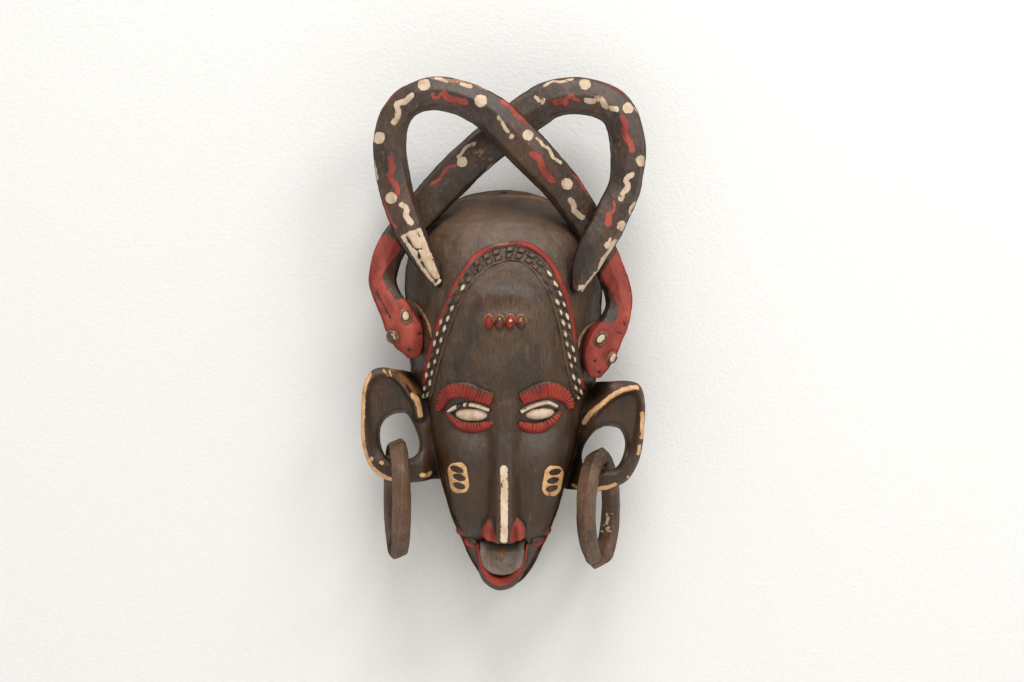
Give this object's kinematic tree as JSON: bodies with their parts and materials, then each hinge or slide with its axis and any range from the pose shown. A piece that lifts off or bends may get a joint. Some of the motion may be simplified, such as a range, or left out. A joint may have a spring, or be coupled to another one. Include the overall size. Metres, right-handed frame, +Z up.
{
  "type": "carved wooden wall mask",
  "caption": "Long hollow wooden face mask with crossed serpents over the skull, pierced ears and free-swinging wooden ear rings; hangs flat on a wall.",
  "frame": {"origin": "on the flat back rim at the top of the skull, in the plane of the wall", "axes": "+Y points into the wall, so the face looks along -Y; +Z is up; +X is to the right of someone looking at the face"},
  "size_m": [0.2442, 0.117, 0.4427],
  "materials": {
    "dark_patinated_wood": "dark patinated wood with a soft sheen",
    "red_black_painted_wood": "dark wood with red and cream paint, worn",
    "brown_ring_wood": "bare brown wood with knife facets"
  },
  "bodies": {
    "mask": {"mask_shell": "dark_patinated_wood", "serpent_front": "red_black_painted_wood", "serpent_rear": "red_black_painted_wood", "ear_left": "dark_patinated_wood", "ear_right": "dark_patinated_wood"},
    "left_ring": {"ring_left": "brown_ring_wood"},
    "right_ring": {"ring_right": "brown_ring_wood"}
  },
  "joints": [
    {"name": "left_ring_swing", "type": "hinge", "parent": "mask", "child": "left_ring", "pos_m": [-0.091, -0.06, -0.2394], "axis": [-0.9903, -0.1392, 0], "range_deg": [-12, 70]},
    {"name": "right_ring_swing", "type": "hinge", "parent": "mask", "child": "right_ring", "pos_m": [0.0815, -0.06, -0.2473], "axis": [-0.9588, 0.284, 0], "range_deg": [-12, 50]}
  ]
}
